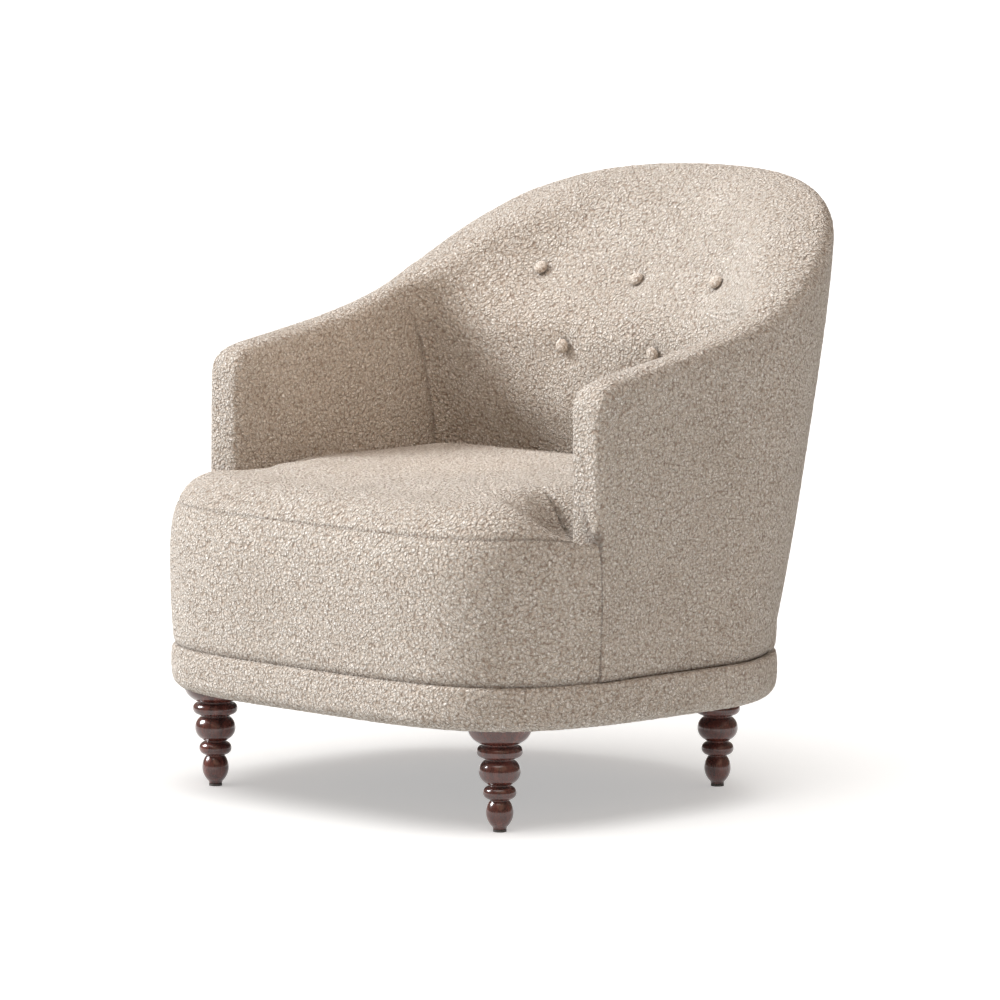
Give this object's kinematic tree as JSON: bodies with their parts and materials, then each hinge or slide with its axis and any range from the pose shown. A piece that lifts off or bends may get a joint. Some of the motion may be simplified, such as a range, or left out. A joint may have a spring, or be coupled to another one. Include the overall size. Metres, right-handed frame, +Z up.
{
  "type": "upholstered armchair",
  "caption": "Tub armchair with a sloping buttoned back that runs into thin arms, a tight T-shaped seat, a padded base band and turned wooden legs.",
  "frame": {"origin": "on the floor under the middle of the chair's box", "axes": "+Z up, the chair faces -Y, +X to the right when it is seen from the front"},
  "size_m": [0.7774, 0.8454, 0.8365],
  "materials": {
    "boucle": "sand looped boucle",
    "button_boucle": "sand boucle over a button",
    "turned_wood": "glossy reddish brown",
    "frame_wood": "sawn",
    "steel": "zinc plated",
    "glide_plastic": "matt",
    "lining_cloth": "thin non-woven",
    "webbing": "woven strap",
    "twine": "waxed cord",
    "foam": "foam and wadding"
  },
  "bodies": {
    "root": {"back_band_padding": "foam", "back_edge_roll": "foam", "back_foam": "foam", "back_left_leg": "turned_wood", "back_lower_rail": "frame_wood", "back_right_leg": "turned_wood", "back_seat_rail": "frame_wood", "back_top_rail": "frame_wood", "back_uprights": "frame_wood", "back_wadding": "foam", "back_webbing": "webbing", "band_cover": "boucle", "button_bottom_left": "button_boucle", "button_bottom_right": "button_boucle", "button_top_left": "button_boucle", "button_top_middle": "button_boucle", "button_top_right": "button_boucle", "button_twines": "twine", "dust_cover": "lining_cloth", "front_band_padding": "foam", "front_left_leg": "turned_wood", "front_right_leg": "turned_wood", "front_seat_rail": "frame_wood", "hanger_bolts": "steel", "inside_back_cover": "boucle", "left_arm_cover": "boucle", "left_arm_padding": "foam", "left_arm_post": "frame_wood", "left_arm_rail": "frame_wood", "left_back_post": "frame_wood", "left_band_padding": "foam", "left_seat_rail": "frame_wood", "leg_blocks": "frame_wood", "leg_glides": "glide_plastic", "leg_plates": "steel", "outside_back_cover": "boucle", "plate_screws": "steel", "right_arm_cover": "boucle", "right_arm_padding": "foam", "right_arm_post": "frame_wood", "right_arm_rail": "frame_wood", "right_back_post": "frame_wood", "right_band_padding": "foam", "right_seat_rail": "frame_wood", "seat_border_cover": "boucle", "seat_border_padding": "foam", "seat_foam": "foam", "seat_spring_1": "steel", "seat_spring_2": "steel", "seat_spring_3": "steel", "seat_spring_4": "steel", "seat_spring_5": "steel", "seat_top_cover": "boucle", "spring_clips": "steel", "spring_cloth": "lining_cloth", "twine_toggles": "twine"}
  },
  "joints": []
}
